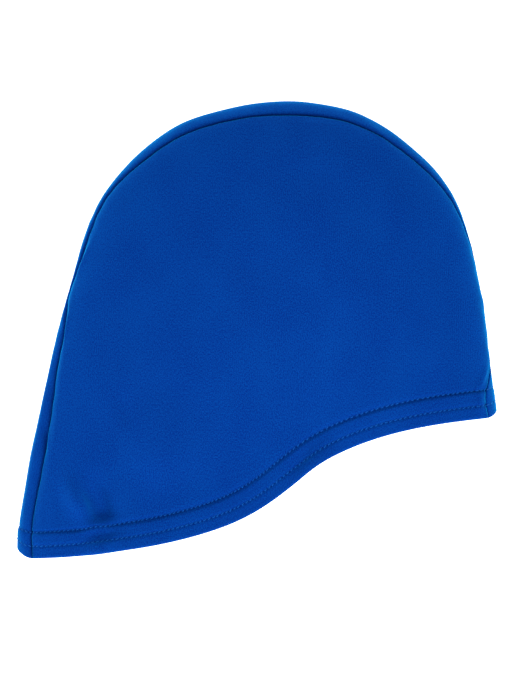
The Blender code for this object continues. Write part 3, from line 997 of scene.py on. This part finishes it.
# What the shaders have all over each surface
KNIT_FINISH = {
    "Roughness": 0.85,
    "Specular IOR Level": 0.01,
    "Sheen Weight": 0.95,
    "Sheen Roughness": 0.40,
    "Sheen Tint": (0.0, 0.46, 0.92, 1),
}
THREAD_FINISH = {
    "Base Color": (0.003, 0.085, 0.390, 1),
    "Roughness": 0.55,
    "Specular IOR Level": 0.05,
    "Sheen Weight": 0.3,
    "Sheen Tint": (0.02, 0.36, 1.0, 1),
}
FLOOR_FINISH = {
    "Base Color": (0.92, 0.92, 0.92, 1),
    "Emission Color": (1, 1, 1, 1),
    "Emission Strength": 1.4,
    "Roughness": 0.9,
    "Specular IOR Level": 0.1,
}


def new_material(name, finish):
    """A material with this finish, its node tree and its shader."""
    material = bpy.data.materials.new(name)
    material.use_nodes = True
    shader = material.node_tree.nodes["Principled BSDF"]
    for label, value in finish.items():
        shader.inputs[label].default_value = value
    return material, material.node_tree, shader


def add_bump(tree, shader, height, strength, depth):
    """Bumps the shader's surface by this height, from 0 to 1 for the depth in metres."""
    bump = tree.nodes.new("ShaderNodeBump")
    bump.inputs["Strength"].default_value = strength
    bump.inputs["Distance"].default_value = depth
    tree.links.new(height, bump.inputs["Height"])
    tree.links.new(bump.outputs["Normal"], shader.inputs["Normal"])


def math_node(tree, operation, *values):
    """A math node on these values, each a number or an output."""
    made = tree.nodes.new("ShaderNodeMath")
    made.operation = operation
    for i, value in enumerate(values):
        if isinstance(value, (int, float)):
            made.inputs[i].default_value = value
        else:
            tree.links.new(value, made.inputs[i])
    return made.outputs[0]


def attribute_parts(tree, name):
    """The three parts of a vector that the mesh carries."""
    read = tree.nodes.new("ShaderNodeAttribute")
    read.attribute_name = name
    split = tree.nodes.new("ShaderNodeSeparateXYZ")
    tree.links.new(read.outputs["Vector"], split.inputs[0])
    return split.outputs


def noise_node(tree, across, along, row):
    """Noise over the flat cloth, drawn out along its ribs as its row of the table says."""
    joined = tree.nodes.new("ShaderNodeCombineXYZ")
    tree.links.new(across, joined.inputs[0])
    tree.links.new(math_node(tree, "DIVIDE", along, row.stretch), joined.inputs[1])
    noise = tree.nodes.new("ShaderNodeTexNoise")
    noise.inputs["Scale"].default_value = row.scale
    noise.inputs["Detail"].default_value = row.detail
    tree.links.new(joined.outputs[0], noise.inputs["Vector"])
    return noise.outputs["Fac"]


def blend_node(tree, share, first, second):
    """A colour between two, each a colour or an output."""
    mix = tree.nodes.new("ShaderNodeMix")
    mix.data_type = "RGBA"
    tree.links.new(share, mix.inputs["Factor"])
    for name, colour in (("A", first), ("B", second)):
        if isinstance(colour, tuple):
            mix.inputs[name].default_value = (*colour, 1)
        else:
            tree.links.new(colour, mix.inputs[name])
    return mix.outputs["Result"]


def weighted_sum(tree, start, *terms):
    """The start and these outputs together, each output times its weight."""
    total = start
    for output, weight in terms:
        total = math_node(tree, "MULTIPLY_ADD", output, weight, total)
    return total


def wave_node(tree, distance, length):
    """A sine wave along a distance, with waves of this length."""
    return math_node(tree, "SINE", math_node(tree, "MULTIPLY", distance, 2 * math.pi / length))


def near_node(tree, distance, width):
    """1 where the distance is nothing, falling away smoothly over the width."""
    off = math_node(tree, "DIVIDE", distance, width)
    squared = math_node(tree, "MULTIPLY", off, off)
    return math_node(tree, "EXPONENT", math_node(tree, "MULTIPLY", squared, -1.0))


def shade_node(tree, distance, row):
    """How dark the painted shade is, this far from a seam or a row of stitches."""
    return math_node(tree, "MULTIPLY", near_node(tree, distance, row.width), row.dark)


def needle_holes(tree, stitch, over_lower, over_upper):
    """How deep in a needle hole each point is, from 0 to 1, along both rows of stitches."""
    turn = math_node(tree, "MULTIPLY", stitch, 2 * math.pi)
    wave = math_node(tree, "MULTIPLY_ADD", math_node(tree, "COSINE", turn), 0.5, 0.5)
    rows = math_node(tree, "ADD", near_node(tree, over_lower, HOLE_SHADE.width),
                     near_node(tree, over_upper, HOLE_SHADE.width))
    return math_node(tree, "MULTIPLY", math_node(tree, "POWER", wave, HOLE_POWER), rows)


def knit_material(name, yarn):
    """Matt stretch knit: fine ribs, heathered yarn and a soft blue bloom at grazing angles."""
    material, tree, shader = new_material(name, KNIT_FINISH)
    across, along, stitch = attribute_parts(tree, "knit")
    over_lower, over_upper, seam = attribute_parts(tree, "sewing")
    heather = noise_node(tree, across, along, HEATHER)
    patches = noise_node(tree, across, along, PATCHES)
    specks = noise_node(tree, across, along, SPECKS)
    start = 0.5 * (1 - HEATHER.strength - PATCHES.strength - SPECKS.strength)
    share = weighted_sum(tree, start, (heather, HEATHER.strength), (patches, PATCHES.strength),
                         (specks, SPECKS.strength))
    colour = blend_node(tree, share, yarn.dark, yarn.light)
    holes = needle_holes(tree, stitch, over_lower, over_upper)
    # Painted shade: the base colour darkens beside the seams, along the rows of stitches and in the
    # needle holes
    painted_shade = shade_node(tree, seam, SEAM_SHADE)
    for distance, row in ((over_lower, LOWER_ROW_SHADE), (over_upper, UPPER_ROW_SHADE)):
        painted_shade = math_node(tree, "MAXIMUM", painted_shade, shade_node(tree, distance, row))
    painted_shade = weighted_sum(tree, painted_shade, (holes, HOLE_SHADE.dark))
    tree.links.new(blend_node(tree, painted_shade, colour, PAINTED_SHADE_COLOUR), shader.inputs["Base Color"])
    wobbled = weighted_sum(tree, across, (noise_node(tree, across, along, WOBBLE), WOBBLE.strength))
    height = weighted_sum(tree, 0.0, (wave_node(tree, wobbled, WALE), RIB_SHARE),
                          (wave_node(tree, along, COURSE), COURSE_SHARE),
                          (heather, HEATHER_SHARE), (holes, -HOLE_SHARE))
    add_bump(tree, shader, height, KNIT_BUMP, KNIT_DEPTH)
    return material


def thread_material(name):
    """Spun polyester thread, a little paler than the cloth, with its twist in the bump."""
    material, tree, shader = new_material(name, THREAD_FINISH)
    place = tree.nodes.new("ShaderNodeTexCoord")
    wave = tree.nodes.new("ShaderNodeTexWave")
    wave.inputs["Scale"].default_value = TWIST_SCALE
    wave.inputs["Distortion"].default_value = TWIST_DISTORTION
    tree.links.new(place.outputs["Object"], wave.inputs["Vector"])
    add_bump(tree, shader, wave.outputs["Fac"], TWIST_BUMP, TWIST_DEPTH)
    return material


# The photo's frame: what one of its pixels is in metres at the height of the cap's edge, and
# where the middle of its frame lies
PHOTO_HEIGHT_PIXELS = 688
PIXEL = 0.00044
VIEW_CENTRE = (0.00033, -0.00628)
EDGE_LINE_HEIGHT = EDGE_DROP_SHARE * (HEM_EDGE_RISE + CROWN_EDGE_RISE) / 2
CAMERA_HEIGHT = 1.8
SENSOR_WIDTH = 36

# The floor's half width and how far under the cap's lowest point it lies, in metres
FLOOR_HALF = 8
FLOOR_DROP = 0.0002

# The square soft lights: where each one is and its size in metres, and its power in watts
LightRow = namedtuple("LightRow", "name place size watts")
LIGHTS = [
    LightRow("hem_light", (0.35, -0.90, 0.70), 0.7, 14.4),
    LightRow("overhead_light", (0.05, -0.1, 2.0), 1.0, 2.5),
    LightRow("nape_light", (-2.2, -1.0, 0.5), 0.7, 34),
    LightRow("crown_light", (0.1, 2.4, 0.2), 0.5, 30),
]
STUDIO_STRENGTH = 0.50


def make_camera():
    """A camera straight above the cap, with a long lens."""
    camera = bpy.data.objects.new("camera", bpy.data.cameras.new("camera"))
    camera.data.sensor_width = SENSOR_WIDTH
    seen = PHOTO_HEIGHT_PIXELS * PIXEL
    camera.data.lens = SENSOR_WIDTH * (CAMERA_HEIGHT - EDGE_LINE_HEIGHT) / seen
    camera.location = (*VIEW_CENTRE, CAMERA_HEIGHT)
    bpy.context.scene.collection.objects.link(camera)
    bpy.context.scene.camera = camera


def make_floor():
    """A plain pale floor, which gives off a little light to be as white as the photo's ground."""
    mesh = bpy.data.meshes.new("floor")
    corners = [(x * FLOOR_HALF, y * FLOOR_HALF, -FLOOR_DROP)
               for x, y in ((-1, -1), (1, -1), (1, 1), (-1, 1))]
    mesh.from_pydata(corners, [], [(0, 1, 2, 3)])
    material, _, _ = new_material("floor", FLOOR_FINISH)
    mesh.materials.append(material)
    floor = bpy.data.objects.new("floor", mesh)
    bpy.context.scene.collection.objects.link(floor)


def make_light(row):
    """A square soft light that faces the cap."""
    light = bpy.data.lights.new(row.name, "AREA")
    light.shape = "SQUARE"
    light.size = row.size
    light.energy = row.watts
    lamp = bpy.data.objects.new(row.name, light)
    lamp.location = row.place
    away = np.array(row.place) / np.linalg.norm(row.place)
    lamp.rotation_euler = (math.acos(away[2]), 0, math.atan2(away[0], -away[1]))
    lamp.visible_camera = False
    bpy.context.scene.collection.objects.link(lamp)


def make_studio():
    """White walls all round, and plain colours as the camera sees them."""
    world = bpy.data.worlds.new("studio")
    world.use_nodes = True
    walls = world.node_tree.nodes["Background"]
    walls.inputs["Color"].default_value = (1.0, 1.0, 1.0, 1)
    walls.inputs["Strength"].default_value = STUDIO_STRENGTH
    bpy.context.scene.world = world
    bpy.context.scene.view_settings.view_transform = "Standard"


def main():
    """Makes the scene round the cap, and then its panels and threads."""
    make_camera()
    make_floor()
    for row in LIGHTS:
        make_light(row)
    make_studio()
    panel_knit = knit_material("panel_knit", PANEL_YARN)
    strip_knit = knit_material("strip_knit", STRIP_YARN)
    thread = thread_material("thread")
    right = side_panel("right_panel", UPPER, panel_knit)
    left = side_panel("left_panel", LOWER, panel_knit)
    strip = centre_strip("strip", strip_knit)
    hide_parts("right_side_panel")
    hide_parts("left_side_panel")
    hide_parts("centre_strip")
    for side, which in ((UPPER, "right"), (LOWER, "left")):
        panel_stitches(f"{which}_hem_stitches", side, thread)
        looper_threads(f"{which}_hem_loopers", side, thread)
        allowance(f"{which}_seam_allowance", side, panel_knit)
        overlock_threads(f"{which}_seam_overlock", side, thread)
    strip_stitches("strip_hem_stitches", thread)


main()
